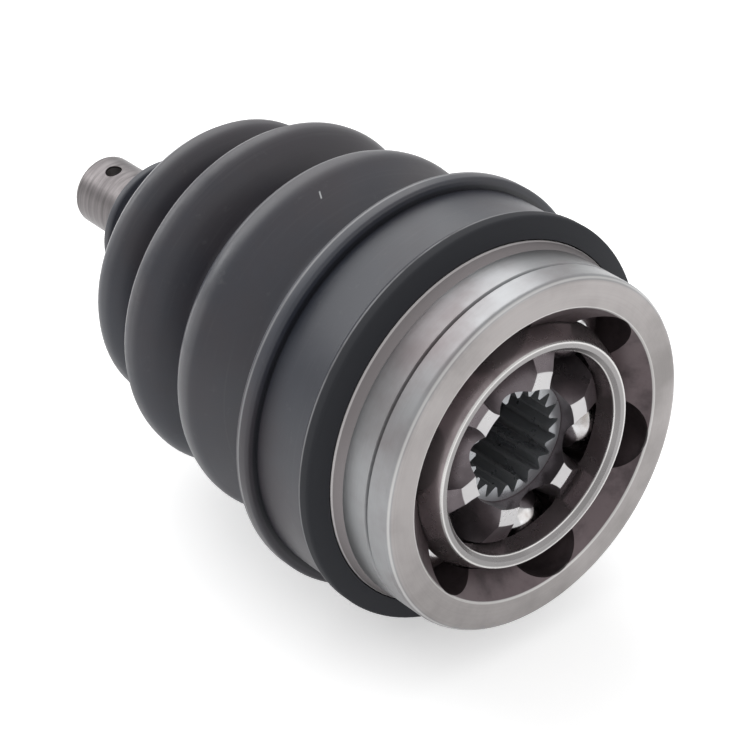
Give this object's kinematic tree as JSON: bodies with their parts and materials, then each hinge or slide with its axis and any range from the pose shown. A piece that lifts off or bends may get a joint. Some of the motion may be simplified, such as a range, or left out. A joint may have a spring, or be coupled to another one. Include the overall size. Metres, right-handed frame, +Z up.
{
  "type": "constant velocity joint",
  "caption": "Outboard constant velocity joint with a splined inner race, caged balls, a bell with its stub axle, and a bellows boot slipped over the stub.",
  "frame": {"origin": "joint centre: where the plane of the balls crosses the joint's axis", "axes": "+Y along the stub axle, away from the bell's mouth; +Z up with the joint lying on its side; +X completes the right-handed frame"},
  "size_m": [0.0992, 0.16, 0.0992],
  "materials": {
    "bell_steel": "satin, machined",
    "cage_steel": "dark, oiled, bright front bevel",
    "race_steel": "dark tracks, ground faces",
    "ball_steel": "polished",
    "boot_rubber": "smooth, slight sheen"
  },
  "bodies": {
    "outer_race": {"outer_race": "bell_steel"},
    "cage": {"ball_cage": "cage_steel"},
    "inner_race": {"inner_race": "race_steel"},
    "ball_1": {"ball_1": "ball_steel"},
    "ball_2": {"ball_2": "ball_steel"},
    "ball_3": {"ball_3": "ball_steel"},
    "ball_4": {"ball_4": "ball_steel"},
    "ball_5": {"ball_5": "ball_steel"},
    "ball_6": {"ball_6": "ball_steel"},
    "boot": {"boot": "boot_rubber"}
  },
  "joints": [
    {"name": "articulation", "type": "hinge", "parent": "outer_race", "child": "inner_race", "pos_m": [0, 0, 0], "axis": [0.9613, 0, -0.2756], "range_deg": [-42, 42]},
    {"name": "cage_tilt", "type": "hinge", "parent": "outer_race", "child": "cage", "pos_m": [0, 0, 0], "axis": [0.9613, 0, -0.2756], "range_deg": [-21.5, 21.5]},
    {"name": "ball_1_roll", "type": "hinge", "parent": "outer_race", "child": "ball_1", "pos_m": [0, 0, 0], "axis": [0.9613, 0, -0.2756], "range_deg": [-21.5, 21.5]},
    {"name": "ball_2_travel", "type": "hinge", "parent": "outer_race", "child": "ball_2", "pos_m": [0, -0.004, 0], "axis": [0.6947, 0, -0.7193], "range_deg": [-19, 19]},
    {"name": "ball_3_travel", "type": "hinge", "parent": "outer_race", "child": "ball_3", "pos_m": [0, -0.004, 0], "axis": [0.9703, 0, 0.2419], "range_deg": [-19, 19]},
    {"name": "ball_4_roll", "type": "hinge", "parent": "outer_race", "child": "ball_4", "pos_m": [0, 0, 0], "axis": [0.9613, 0, -0.2756], "range_deg": [-21.5, 21.5]},
    {"name": "ball_5_travel", "type": "hinge", "parent": "outer_race", "child": "ball_5", "pos_m": [0, -0.004, 0], "axis": [0.6947, 0, -0.7193], "range_deg": [-19, 19]},
    {"name": "ball_6_travel", "type": "hinge", "parent": "outer_race", "child": "ball_6", "pos_m": [0, -0.004, 0], "axis": [0.9703, 0, 0.2419], "range_deg": [-19, 19]},
    {"name": "boot_off", "type": "slide", "parent": "outer_race", "child": "boot", "axis": [0, 1, 0], "range_m": [0, 0.15]}
  ],
  "couplings": [
    {"joint": "cage_tilt", "follows": "articulation", "ratio": 0.5},
    {"joint": "ball_1_roll", "follows": "articulation", "ratio": 0.5},
    {"joint": "ball_2_travel", "follows": "articulation", "ratio": 0.4378},
    {"joint": "ball_3_travel", "follows": "articulation", "ratio": 0.4378},
    {"joint": "ball_4_roll", "follows": "articulation", "ratio": 0.5},
    {"joint": "ball_5_travel", "follows": "articulation", "ratio": 0.4378},
    {"joint": "ball_6_travel", "follows": "articulation", "ratio": 0.4378}
  ]
}
